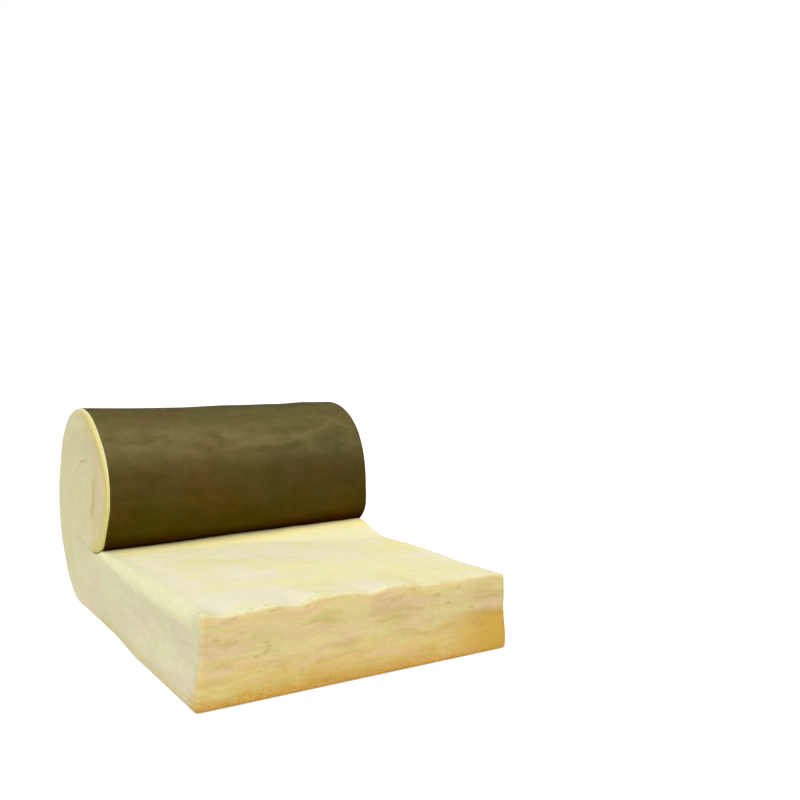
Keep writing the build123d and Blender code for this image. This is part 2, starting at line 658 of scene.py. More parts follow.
    def place(self, brick: Array) -> Array:
        """Carries the wool's strip coordinates into the frame.

        A point is a straight mix of the faced point and the bare point at its s, by t. The
        heights above are added along the outward normal, across the wool, and out of the cut
        faces. The faced side is sunk under the facing and flush with it on the rim.

        Args:
            brick: points as (x, s, t).

        Returns:
            Points as (x, y, z).
        """
        shape = self.winding
        x, s, t = self.round_edges(brick).T
        brick_x, brick_s, brick_t = brick.T
        outer, normal, bare = shape.across(s)
        faced = outer - normal * shape.facing_thickness
        section = faced * (1.0 - t)[:, None] + bare * t[:, None]
        covered = self.cover(brick_x, brick_s)
        flush = self.rim_lift + self.inner_rim_lift * self._inner(brick_s)
        skin = flush * (1.0 - covered) - self.sink * covered
        skin = skin * smooth_step(brick_t, self.skin_up, 0.0)
        section += normal * ((1.0 - t) * self.roll_height(x, s) + skin)[:, None]
        section += unit(bare - faced) * (t * self.flat_height(x, s))[:, None]
        low = smooth_step(brick_t, self.flare_up, 0.0)
        seam = (self._inner(brick_s), self._wound(brick_s))
        left = self.cut_height(brick_s, brick_t, seam, CutFace.LEFT)
        left = left + self.left_flare * low * hill(brick_s, *self.left_flare_run)
        right = self.cut_height(brick_s, brick_t, seam, CutFace.RIGHT)
        at_side = smooth_step(shape.width / 2 - np.abs(brick_x), self.cut_run, 0.0)
        x = x + np.where(brick_x < 0.0, -left, right) * at_side + self.lean_out(x, section)
        free = np.zeros_like(brick_t)
        front = self.cut_height(brick_x, brick_t, (free, free), CutFace.FRONT)
        front = front + self.front_flare * low
        section[:, 0] -= front * smooth_step(brick_s, self.cut_run, 0.0)
        return np.column_stack([x, section])


# --- Meshes ---


def weld(patches: Sequence[Patch]) -> Patch:
    """Joins patches of strip coordinates, with one vertex wherever their coordinates agree.

    Args:
        patches: pairs of points (x, s, t) and faces, as lists of point numbers.

    Returns:
        The joined points, and the faces renumbered.
    """
    points = np.concatenate([patch for patch, _ in patches])
    keys = np.round(points * WELD_STEPS).astype(np.int64)
    _, first, back = np.unique(keys, axis=0, return_index=True, return_inverse=True)
    back = back.ravel()
    faces, start = [], 0
    for patch, patch_faces in patches:
        faces += [back[np.array(face) + start].tolist() for face in patch_faces]
        start += len(patch)
    return points[first], faces


def grid(first: Array, second: Array, axes: str, fixed: float) -> Patch:
    """A patch over two of the strip's coordinates with the third one fixed.

    Args:
        first: values of the first coordinate, down the rows.
        second: values of the second coordinate, along the columns.
        axes: which coordinates they are, such as "xs".
        fixed: the third coordinate's value.

    Returns:
        The points as (x, s, t) and the faces.
    """
    rows, columns = np.meshgrid(first, second, indexing="ij")
    points = np.full((rows.size, 3), fixed)
    points[:, "xst".index(axes[0])] = rows.ravel()
    points[:, "xst".index(axes[1])] = columns.ravel()
    number = np.arange(rows.size).reshape(rows.shape)
    corners = [number[:-1, :-1], number[1:, :-1], number[1:, 1:], number[:-1, 1:]]
    return points, np.stack([corner.ravel() for corner in corners], axis=-1).tolist()


def hem(fine: Array, coarse: Array, s_fine: float, s_coarse: float, t: float) -> Patch:
    """One row of many-sided faces between a fine row of x values and a coarse one within it.

    Args:
        fine: x values of the fine row.
        coarse: x values of the coarse row, all of them found in the fine one.
        s_fine: the fine row's s.
        s_coarse: the coarse row's s.
        t: the t of both.

    Returns:
        The points as (x, s, t) and the faces.
    """
    points = np.concatenate([
        np.column_stack([x, np.full_like(x, s), np.full_like(x, t)])
        for x, s in ((fine, s_fine), (coarse, s_coarse))
    ])
    cuts = np.searchsorted(fine, coarse - NEAR)
    faces = [
        [*range(cuts[k], cuts[k + 1] + 1), len(fine) + k + 1, len(fine) + k]
        for k in range(len(coarse) - 1)
    ]
    return points, faces


def placed(name: str, data: bpy.types.ID) -> bpy.types.Object:
    """Makes an object of its data and links it to the scene.

    Args:
        name: the object's name.
        data: its mesh, lamp or camera.

    Returns:
        The new object.
    """
    thing = bpy.data.objects.new(name, data)
    bpy.context.scene.collection.objects.link(thing)
    return thing


def make_piece(
    name: str, points: Array, faces: list[list[int]], strip: Array, closed: bool
) -> bpy.types.Object:
    """Makes a mesh object at the origin, with its strip coordinates kept as an attribute.

    Args:
        name: the piece's name.
        points: its vertices in the frame.
        faces: its faces, as lists of vertex numbers.
        strip: each vertex's x, s and depth in the unwound strip.
        closed: whether the mesh is closed, so that its faces are all turned outwards.

    Returns:
        The new object, linked to the scene.
    """
    mesh = bpy.data.meshes.new(name)
    mesh.from_pydata(points.tolist(), [], faces)
    attribute = mesh.attributes.new("strip", "FLOAT_VECTOR", "POINT")
    attribute.data.foreach_set("vector", strip.astype(np.float32).ravel())
    if closed:
        work = bmesh.new()
        work.from_mesh(mesh)
        bmesh.ops.recalc_face_normals(work, faces=work.faces)
        work.to_mesh(mesh)
        work.free()
    mesh.shade_smooth()
    mesh.update()
    return placed(name, mesh)


# --- Finishes ---


def shown(*levels: int) -> Rgb:
    """A display colour from 0 to 255 as linear light, by the curve of ordinary screens."""
    return tuple(c / 3294.6 if c <= 10 else ((c / 255 + 0.055) / 1.055) ** 2.4 for c in levels)


class Blend(Enum):
    """How two colours are mixed."""

    OVER = "MIX"
    DARKEN = "MULTIPLY"


class Sum(Enum):
    """What is made of two numbers, or of one."""

    PLUS = "ADD"
    LESS = "SUBTRACT"
    TIMES = "MULTIPLY"
    LARGER = "MAXIMUM"
    SIZE = "ABSOLUTE"


@dataclass(frozen=True)
class Grain:
    """A noise over the strip: its cells to the metre along x, s and depth, and its character."""

    cells: Triple
    detail: float = 3.0
    rough: float = 0.55
    warp: float = 0.0
    offset: Triple = (0.0, 0.0, 0.0)


@dataclass
class Shading:
    """The nodes of a material or of the world, with a method for each thing done with them."""

    owner: bpy.types.Material | bpy.types.World
    nodes: bpy.types.Nodes = field(init=False, repr=False)

    def __post_init__(self) -> None:
        """Gives the owner its first nodes."""
        self.owner.use_nodes = True
        self.nodes = self.owner.node_tree.nodes

    def feed(self, node: bpy.types.Node, feeds: dict[str | int, Feed]) -> bpy.types.Node:
        """Feeds a node's inputs.

        Args:
            node: the node.
            feeds: for each input the output that it is linked to, or its number or colour.

        Returns:
            The node.
        """
        for key, value in feeds.items():
            socket = node.inputs[key]
            if isinstance(value, Socket):
                self.owner.node_tree.links.new(value, socket)
            else:
                socket.default_value = (*value, 1.0) if socket.type == "RGBA" else value
        return node

    def add(self, kind: str, feeds: dict[str | int, Feed], **settings: str) -> bpy.types.Node:
        """Adds a node.

        Args:
            kind: its kind, as Blender names it after "ShaderNode".
            feeds: what its inputs get.
            settings: what is set on the node itself.

        Returns:
            The new node.
        """
        node = self.nodes.new("ShaderNode" + kind)
        for key, value in settings.items():
            setattr(node, key, value)
        return self.feed(node, feeds)

    def strip(self, scale: Triple = (1.0, 1.0, 1.0), offset: Triple = (0.0, 0.0, 0.0)) -> Socket:
        """The strip coordinates x, s and depth, multiplied by a scale and moved by an offset."""
        source = self.add("Attribute", {}, attribute_name="strip").outputs["Vector"]
        return self.add("Mapping", {0: source, "Scale": scale, "Location": offset}).outputs[0]

    def places(self) -> list[Socket]:
        """The strip coordinates x, s and depth, each as a number."""
        return list(self.add("SeparateXYZ", {0: self.strip()}).outputs)

    def noise(self, grain: Grain) -> Socket:
        """Noise from 0 to 1, mostly between 0.3 and 0.7."""
        feeds = {"Vector": self.strip(grain.cells, grain.offset), "Scale": 1.0,
                 "Detail": grain.detail, "Roughness": grain.rough, "Distortion": grain.warp}
        return self.add("TexNoise", feeds).outputs["Fac"]

    def ease(
        self, value: Socket, low: float, high: float, start: float = 0.0, end: float = 1.0
    ) -> Socket:
        """Goes smoothly from start, where the value is at low, to end, where it is at high."""
        feeds = {"Value": value, "From Min": low, "From Max": high, "To Min": start, "To Max": end}
        return self.add("MapRange", feeds, interpolation_type="SMOOTHSTEP").outputs["Result"]

    def join(self, how: Sum, first: Feed, second: Feed = 0.0) -> Socket:
        """Makes one number of two, or of one."""
        return self.add("Math", {0: first, 1: second}, operation=how.value).outputs[0]

    def plus(self, *numbers: Feed) -> Feed:
        """The sum of some numbers."""
        return functools.reduce(functools.partial(self.join, Sum.PLUS), numbers)

    def times(self, *numbers: Feed) -> Feed:
        """The product of some numbers."""
        return functools.reduce(functools.partial(self.join, Sum.TIMES), numbers)

    def mix(self, share: Feed, first: Feed, second: Feed, blend: Blend = Blend.OVER) -> Socket:
        """Mixes two colours, with a share of the second; a Mix node has them in 6, 7 and 2."""
        kinds = {"data_type": "RGBA", "blend_type": blend.value}
        return self.add("Mix", {0: share, 6: first, 7: second}, **kinds).outputs[2]

    def seen(self) -> Socket:
        """A 1 for rays from the camera, a mirror or a clear thing, and a 0 for rays of light."""
        rays, kinds = self.add("LightPath", {}).outputs, ("Camera", "Glossy", "Transmission")
        larger = functools.partial(self.join, Sum.LARGER)
        return functools.reduce(larger, (rays[f"Is {kind} Ray"] for kind in kinds))

    def painted(self, ground: Feed, *coats: tuple[Feed, ...]) -> Socket:
        """Paints coats over a ground, one after the other.

        Args:
            ground: the colour beneath.
            coats: each a colour, and the shares whose product says how much of it covers.

        Returns:
            The painted colour.
        """
        for colour, *shares in coats:
            ground = self.mix(self.times(*shares), ground, colour)
        return ground

    def shaded(self, colour: Feed, *shades: tuple[Feed, Socket, float, float, Rgb]) -> Socket:
        """Darkens a colour where values are low, one after the other.

        Args:
            colour: the colour to darken.
            shades: each a mask, a value, the ends of the stretch in which the shade fades out,
                and the colour that it multiplies by.

        Returns:
            The darkened colour.
        """
        for mask, value, low, high, dark in shades:
            tone = self.mix(self.ease(value, low, high), dark, (1.0, 1.0, 1.0))
            colour = self.mix(mask, colour, tone, Blend.DARKEN)
        return colour

    def finished(
        self, colour: Feed, specular: float, *bumps: tuple[Socket, float, float]
    ) -> bpy.types.Material:
        """Feeds the shader of a matt surface.

        Args:
            colour: its colour.
            specular: its level of gloss.
            bumps: bumps on top of each other, each a height, its metres and its strength.

        Returns:
            The finished material.
        """
        feeds = {"Base Color": colour, "Roughness": MATT, "Specular IOR Level": specular}
        for height, metres, strength in bumps:
            under = {"Normal": feeds["Normal"]} if "Normal" in feeds else {}
            bump = {"Height": height, "Distance": metres, "Strength": strength, **under}
            feeds["Normal"] = self.add("Bump", bump).outputs["Normal"]
        self.feed(self.nodes["Principled BSDF"], feeds)
        return self.owner


@dataclass(frozen=True)
class WoolFinish:
    """Pale glass wool: cream and fluffy on its bare side, layered and deeper where it is cut."""

    cream: Rgb = shown(238, 233, 188)
    butter: Rgb = shown(240, 232, 172)
    milk: Rgb = shown(240, 234, 208)
    # Painted light on the flat part before the roll, against the shade under it
    bright: Rgb = shown(246, 241, 196)
    # The yellow fringe of fibres by the roll, brightened further as painted light against its shade
    fringe_and_painted_light: Rgb = shown(251, 236, 164)
    side_green: Rgb = shown(229, 227, 187)
    side_pink: Rgb = shown(231, 220, 190)
    disc: Rgb = shown(226, 221, 170)
    # Painted shade, greener: damps the highlight on the rounded left edge and on the front lip
    edge_shade: Rgb = shown(228, 226, 184)
    weathered: Rgb = shown(214, 205, 138)
    band: Rgb = shown(228, 211, 168)
    rim: Rgb = shown(222, 210, 134)
    # Painted shade of the crevice between the roll's turns
    crevice_shade: Rgb = shown(206, 193, 122)
    straw: Rgb = shown(222, 205, 147)
    blush: Rgb = shown(222, 198, 150)
    # Painted light on the front end's top band, against the shade of the lip's waves
    lip_light: Rgb = shown(236, 214, 148)
    rose: Rgb = shown(225, 193, 155)
    reed: Rgb = shown(216, 208, 140)
    honey: Rgb = shown(218, 188, 110)
    # Deeper colour low on the front end, and painted shadow in its lower right corner
    amber_and_shadow: Rgb = shown(205, 164, 72)
    umber: Rgb = shown(206, 184, 122)
    olive: Rgb = shown(180, 152, 56)
    resin: Rgb = shown(218, 146, 60)

    patch: Grain = Grain((7.0, 10.0, 14.0), 2.0, 0.5)
    cloud: Grain = Grain((9.0, 12.0, 18.0), 2.0, 0.5, offset=(4.0, 2.0, 7.0))
    group: Grain = Grain((6.0, 6.0, 12.0), 1.0, 0.5, offset=(1.0, 6.0, 3.0))
    speck: Grain = Grain((110.0, 110.0, 170.0), 3.0, 0.6)
    fray: Grain = Grain((26.0, 26.0, 40.0), 2.0, 0.5)
    settle: Grain = Grain((10.0, 10.0, 24.0), 3.0, 0.6)
    shadow: Grain = Grain((9.0, 9.0, 44.0), 3.0, 0.5, 0.2, (5.0, 0.0, 1.0))
    layer: Grain = Grain((9.0, 9.0, 60.0), 2.0, 0.5, 0.3, (7.0, 3.0, 5.0))
    streak: Grain = Grain((13.0, 13.0, 62.0), 2.0, 0.50, 0.2)
    thread: Grain = Grain((45.0, 45.0, 640.0), 3.0, 0.6, 0.4)
    pit: Grain = Grain((34.0, 34.0, 80.0), 1.0, 0.5, offset=(3.0, 1.0, 2.0))
    fluff: Grain = Grain((60.0, 60.0, 60.0), 6.0, 0.66)
    fibre: Grain = Grain((380.0, 380.0, 380.0), 3.0, 0.6, 1.4)

    half_width: float = 0.300
    contact: float = 1.795

    def material(self) -> bpy.types.Material:
        """Builds the wool's material on the strip coordinates."""
        return WoolShading(bpy.data.materials.new("glass_wool"), self).dressed()


@dataclass
class WoolShading(Shading):
    """The wool's nodes: where a point lies, as metres and as masks from 0 to 1, and its colour.

    Ragged is the depth with an uneven edge. Flat marks the flat part, outer the outer turn,
    rolled the outer turn from the crown on, side the long cut sides and front the front end.
    """

    finish: WoolFinish

    def __post_init__(self) -> None:
        """Works out the coordinates, the shared noises and the masks."""
        super().__post_init__()
        ease, times, look = self.ease, self.times, self.finish
        self.x, self.s, self.depth = self.places()
        self.across = self.join(Sum.SIZE, self.x)
        grains = (look.patch, look.cloud, look.speck, look.group)
        self.patch, self.cloud, self.speck, self.group = (self.noise(grain) for grain in grains)
        self.ragged = self.plus(self.depth, times(self.cloud, 0.012))
        self.flat = ease(self.s, 0.58, 0.50)
        self.outer = ease(self.s, look.contact + 0.01, look.contact - 0.03)
        self.rolled = times(self.outer, ease(self.s, 1.30, 1.44))
        frayed = self.plus(self.depth, times(self.noise(look.fray), 0.030))
        below = self.join(Sum.LESS, 1.0, times(self.flat, ease(frayed, 0.128, 0.142)))
        beside = ease(self.across, look.half_width - 0.0050, look.half_width - 0.0015)
        self.side = times(beside, below)
        self.front = times(ease(self.s, 0.0045, 0.0015), ease(self.ragged, 0.150, 0.139))

    def bare_side(self) -> Socket:
        """Colours the bare side, brighter with painted light towards the roll and greener with
        painted shade along its left edge and front lip.

        Returns:
            The colour.
        """
        ease, look, x = self.ease, self.finish, self.x
        rich = self.plus(self.patch, ease(x, -0.22, 0.10, -0.03, 0.09))
        pale = self.plus(self.cloud, ease(x, -0.02, -0.20, 0.0, 0.08))
        near = self.plus(self.s, ease(x, 0.0, 0.30, 0.0, 0.018), self.times(self.cloud, 0.02))
        return self.painted(
            look.cream,
            (look.butter, ease(rich, 0.36, 0.74, 0.0, 0.9)),
            (look.milk, ease(pale, 0.40, 0.72, 0.0, 0.9)),
            # Painted light on the flat part before the roll
            (look.bright, self.flat, ease(near, 0.36, 0.50, 0.0, 0.85)),
            # The yellow fringe by the roll, with more painted light on it
            (look.fringe_and_painted_light, self.flat, ease(near, 0.450, 0.502, 0.0, 0.9), ease(x, 0.298, 0.284)),
            # Painted shade on the rounded left edge, then on the front lip
            (look.edge_shade, ease(x, -0.258, -0.288, 0.0, 0.9), self.flat),
            (look.edge_shade, ease(self.s, 0.014, 0.004, 0.0, 0.55)),
        )

    def long_side(self) -> Socket:
        """Colours the long cut sides, with the outer turn's band and painted crevice shade on the
        left wall.

        Returns:
            The colour.
        """
        ease, look, s, ragged = self.ease, self.finish, self.s, self.ragged
        wall = (self.outer, ease(s, 1.55, 1.63), ease(self.x, 0.1, -0.1))
        foot = (self.flat, ease(ragged, 0.030, 0.012, 0.0, 0.7), ease(self.speck, 0.38, 0.56))
        return self.painted(
            look.side_green,
            (look.side_pink, ease(self.patch, 0.36, 0.64)),
            (look.disc, ease(s, 0.60, 0.85, 0.0, 0.65)),
            (look.band, self.rolled, ease(self.depth, 0.112, 0.08, 0.0, 0.8)),
            (look.rim, self.rolled, ease(self.depth, 0.038, 0.016, 0.0, 0.9)),
            # Painted shade in the crevice between turns, on the roll's left end
            (look.crevice_shade, *wall, ease(ragged, 0.142, 0.126), ease(ragged, 0.088, 0.118, 0.0, 0.72)),
            (look.weathered, *foot),
            (look.straw, ease(s, 0.012, 0.003, 0.0, 0.5)),
            (look.honey, ease(s, 0.030, 0.004), ease(ragged, 0.040, 0.016, 0.0, 0.8)),
        )

    def front_end(self) -> Socket:
        """Colours the cut front end: layers that deepen downwards, to specks at its foot.

        Returns:
            The colour.
        """
        ease, look, ragged = self.ease, self.finish, self.ragged
        layer = self.noise(look.layer)
        settled = self.plus(self.depth, self.times(self.noise(look.settle), 0.070))
        # Painted shadow in the front end's lower right corner, joined with its deeper colour low
        # down
        right = self.times(ease(self.x, 0.13, 0.27, 0.0, 0.9), ease(ragged, 0.092, 0.074))
        golden_and_shadow = self.join(Sum.LARGER, right, ease(settled, 0.070, 0.042, 0.0, 0.65))
        foot = (ease(ragged, 0.028, 0.013), ease(self.group, 0.34, 0.60, 0.3, 0.9))
        return self.painted(
            look.straw,
            (look.blush, ease(self.cloud, 0.36, 0.64)),
            (look.umber, ease(self.noise(look.shadow), 0.50, 0.66, 0.0, 0.8)),
            # Painted light in the top band under the lip
            (look.lip_light, ease(ragged, 0.112, 0.140), ease(self.patch, 0.40, 0.60, 0.35, 0.75)),
            (look.honey, ease(settled, 0.108, 0.066, 0.0, 0.75)),
            (look.rose, ease(layer, 0.51, 0.66, 0.0, 0.55)),
            (look.reed, ease(layer, 0.49, 0.34, 0.0, 0.55)),
            (look.amber_and_shadow, golden_and_shadow),
            (look.resin, *foot, ease(self.speck, 0.50, 0.60)),
            (look.olive, *foot, ease(self.speck, 0.46, 0.38)),
        )

    def dressed(self) -> bpy.types.Material:
        """Puts the three zones in their places and lays fibres, layers and pits over them.

        Returns:
            The finished material.
        """
        look, times, front = self.finish, self.times, self.front
        grains = (look.fluff, look.fibre, look.streak, look.thread, look.pit)
        fluff, fibre, streak, thread, pit = (self.noise(grain) for grain in grains)
        faced = self.ease(self.across, look.half_width - 0.0005, look.half_width - 0.012)
        cut = self.join(Sum.LARGER, self.side, front)
        layered = self.join(Sum.LARGER, times(front, 0.6), times(self.side, 0.25))
        # Painted shade of small pits on the front end
        pit_shade = times(front, self.ease(self.group, 0.50, 0.62, 0.0, 0.9))
        colour = self.painted(
            self.bare_side(),
            (self.long_side(), self.side),
            (self.front_end(), front),
            (look.rim, self.ease(self.depth, 0.002, 0.0), faced, self.rolled),
        )
        colour = self.shaded(
            colour,
            (layered, streak, 0.32, 0.56, (0.90, 0.88, 0.80)),
            (times(cut, 0.50), thread, 0.34, 0.60, (0.92, 0.90, 0.84)),
            (0.35, fibre, 0.30, 0.56, (0.93, 0.92, 0.87)),
            (pit_shade, pit, 0.27, 0.42, (0.79, 0.76, 0.66)),
            (0.5, fluff, 0.36, 0.60, (0.95, 0.94, 0.90)),
        )
        layers, threads = times(streak, cut), times(thread, cut)
        bumps = ((fluff, 0.0030, 0.40), (fibre, 0.0009, 0.38))
        return self.finished(colour, 0.05, *bumps, (layers, 0.0030, 0.18), (threads, 0.0008, 0.20))


@dataclass(frozen=True)
class FleeceFinish:
    """Dark non-woven glass fleece: soft brown and olive clouds and a mat of fine fibres.

    It has painted light in front of the crown, and painted shade that darkens it down its front,
    along the crown and most where the roll comes down on the flat part. Each height of the roll has
    a brown and an olive that one noise mixes.
    """

    back: tuple[Rgb, Rgb] = (shown(92, 80, 50), shown(88, 82, 51))
    # Painted light and shade by height: the upper tones lighter, the middle and lower ones darker
    upper: tuple[Rgb, Rgb] = (shown(101, 84, 50), shown(98, 93, 53))
    middle: tuple[Rgb, Rgb] = (shown(88, 70, 33), shown(81, 71, 33))
    lower: tuple[Rgb, Rgb] = (shown(87, 63, 4), shown(78, 66, 4))
    # Painted shade along the crown
    crown_shade: Rgb = shown(78, 70, 45)
    # Painted light high on the roll's front, in patches
    painted_front_light: Rgb = shown(120, 107, 68)
    # Painted shade where the roll comes down on the flat part
    contact_shade: Rgb = shown(50, 20, 2)

    cloud: Grain = Grain((6.0, 11.0, 1.0), 2.0, 0.5)
    patch: Grain = Grain((10.0, 17.0, 1.0), 4.0, 0.60, 0.4, (2.0, 5.0, 0.0))
    mottle: Grain = Grain((24.0, 38.0, 1.0), 4.0, 0.6, 0.6, (1.0, 3.0, 0.0))
    mat: Grain = Grain((420.0, 420.0, 1.0), 5.0, 0.75, 1.2)

    crown: float = 1.343
    contact: float = 1.795

    def material(self) -> bpy.types.Material:
        """Builds the fleece's material, with places along the strip counted from its crown.

        Returns:
            The material.
        """
        made = Shading(bpy.data.materials.new("dark_fleece"))
        ease, contact = made.ease, self.contact
        x, s, _ = made.places()
        grains = (self.cloud, self.patch, self.mottle, self.mat)
        cloud, patch, mottle, mat = (made.noise(grain) for grain in grains)

        def past(value: Socket, low: float, high: float, *ends: float) -> Socket:
            """Eases a value between two places counted from the crown."""
            return ease(value, self.crown + low, self.crown + high, *ends)

        hue = ease(cloud, 0.25, 0.75)
        green = ease(made.plus(cloud, ease(x, 0.0, 0.25, 0.0, 0.14)), 0.25, 0.75)
        wander = made.plus(s, ease(patch, 0.25, 0.75, -0.03, 0.03))
        # Where the painted light lies, in patches
        light_patches = ease(made.plus(patch, ease(x, 0.10, -0.12, 0.0, 0.10)), 0.38, 0.64, 0.10, 1.0)
        near = made.plus(s, ease(x, -0.05, 0.30, 0.0, 0.025))
        front = made.times(past(s, 0.10, 0.22), ease(s, contact - 0.10, contact - 0.20))
        colour = made.painted(
            made.mix(hue, *self.back),
            # Painted light and shade by height: lighter upper tones, darker middle and lower ones
            (made.mix(green, *self.upper), past(wander, -0.10, 0.08)),
            # Painted shade along the crown
            (self.crown_shade, past(wander, -0.16, -0.02), past(wander, 0.06, -0.01), 0.7),
            (made.mix(hue, *self.middle), past(wander, 0.12, 0.25)),
            (made.mix(hue, *self.lower), past(wander, 0.22, 0.38)),
            # Painted light high on the roll's front
            (self.painted_front_light, past(s, 0.07, 0.16), past(s, 0.25, 0.15), light_patches),
        )
        colour = made.shaded(colour, (front, x, 0.20, -0.05, (0.83, 0.88, 0.86)))
        # Painted shade where the roll comes down on the flat part
        contact_shade_share = ease(near, contact - 0.098, contact - 0.048, 0.0, 0.95)
        colour = made.shaded(
            made.painted(colour, (self.contact_shade, contact_shade_share)),
            (past(s, -0.12, 0.05, 0.45, 1.0), mottle, 0.36, 0.62, (0.86, 0.88, 0.82)),
            (0.6, mat, 0.34, 0.62, (0.82, 0.80, 0.75)),
        )
        return made.finished(colour, 0.02, (mat, 0.0006, 0.40))


# --- The pieces ---


@dataclass
class WoolMat:
    """The wool: patches of the strip's brick, welded along their edges."""

    winding: Winding
    softness: Softness
    finish: WoolFinish
    name: str = "wool_mat_soft"
    step: float = 0.0042
    wound_step: float = 0.0062
    edge_step: float = 0.0009
    coarse_every: int = 9
    edge_columns: int = 8
    hidden_foot: float = 0.060

    def build(self) -> bpy.types.Object:
        """Builds the mesh, dresses it and ties it to its body.

        The bare side's fine grid ends a little before the foot, where the roll hides it.

        Returns:
            The wool's object.
        """
        shape = self.winding
        half, end, seen = shape.width / 2, shape.length, shape.flat_length - self.hidden_foot
        fine = graded(shape.width, self.step, self.edge_step) - half
        edges = self.edge_columns
        coarse = np.concatenate([fine[:edges], fine[edges:-edges:self.coarse_every], fine[-edges:]])
        t = graded(shape.flat_thickness, self.step, self.edge_step) / shape.flat_thickness
        flat = graded(seen, self.step, self.edge_step)
        wound = seen + graded(end - seen, self.wound_step, self.edge_step)[1:]
        s = np.concatenate([flat, wound])
        brick, faces = weld([
            grid(fine, t, "xt", 0.0),
            grid(fine, flat, "xs", 1.0),
            hem(fine, coarse, flat[-1], wound[0], 1.0),
            grid(coarse, wound, "xs", 1.0),
            hem(fine, coarse, s[0], s[1], 0.0),
            grid(coarse, s[1:], "xs", 0.0),
            grid(s, t, "st", -half),
            grid(s, t, "st", half),
            grid(coarse, t, "xt", end),
        ])
        strip = brick * (1.0, 1.0, shape.flat_thickness)
        piece = make_piece(self.name, self.softness.place(brick), faces, strip, closed=True)
        piece.data.materials.append(self.finish.material())
        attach(piece, "root")
        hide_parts("wool_mat")
        return piece


@dataclass
class Facing:
    """The fleece: one open sheet along the strip's faced side, given its thickness inwards."""

    winding: Winding
    softness: Softness
    finish: FleeceFinish
    step: float = 0.006
    seen_step: float = 0.0045
    hidden_step: float = 0.018
    waver: Relief = Relief(0.0012, (0.09, 1.0), 61)
    right_waver: float = 0.3
    calm_run: float = 0.10

    def build(self) -> bpy.types.Object:
        """Builds the sheet, dresses it and ties it to its body.

        Its long edges waver a little, by layered noise of s, the right one less.

        Returns:
            The facing's object.
        """
        shape, soft = self.winding, self.softness
        half, contact = shape.width / 2, shape.contact
        start, foot, end = soft.front_trim, shape.flat_length, shape.length - soft.end_trim
        runs = (
            (start, foot, self.hidden_step),
            (foot, contact, self.seen_step),
            (contact, end, self.step),
        )
        rows = (np.linspace(a, b, round((b - a) / step) + 1)[1:] for a, b, step in runs)
        share = np.linspace(0.0, 1.0, round(shape.width / self.step) + 1)
        brick, faces = grid(share, np.concatenate([[start], *rows]), "xs", 0.0)
        share, s = brick[:, 0].copy(), brick[:, 1]
        drift = [self.waver.at(s, np.zeros_like(s), shift) for shift in (0, 1)]
        left, right = soft.left_edge(s) - half, half - soft.right_trim
        left = left + drift[0] * smooth_step(contact - s, 0.0, self.calm_run)
        brick[:, 0] = left * (1.0 - share) + (right + self.right_waver * drift[1]) * share
        outer, normal, _ = shape.across(s)
        section = outer + normal * soft.roll_height(brick[:, 0], s)[:, None]
        points = np.column_stack([brick[:, 0] + soft.lean_out(brick[:, 0], section), section])
        faces = [face[::-1] for face in faces]
        piece = make_piece("facing_fleece", points, faces, brick, closed=False)
        wall = piece.modifiers.new("thickness", "SOLIDIFY")
        wall.thickness = shape.facing_thickness
        wall.offset = -1.0
        piece.data.materials.append(self.finish.material())
        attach(piece, "root")
        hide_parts("facing")
        return piece


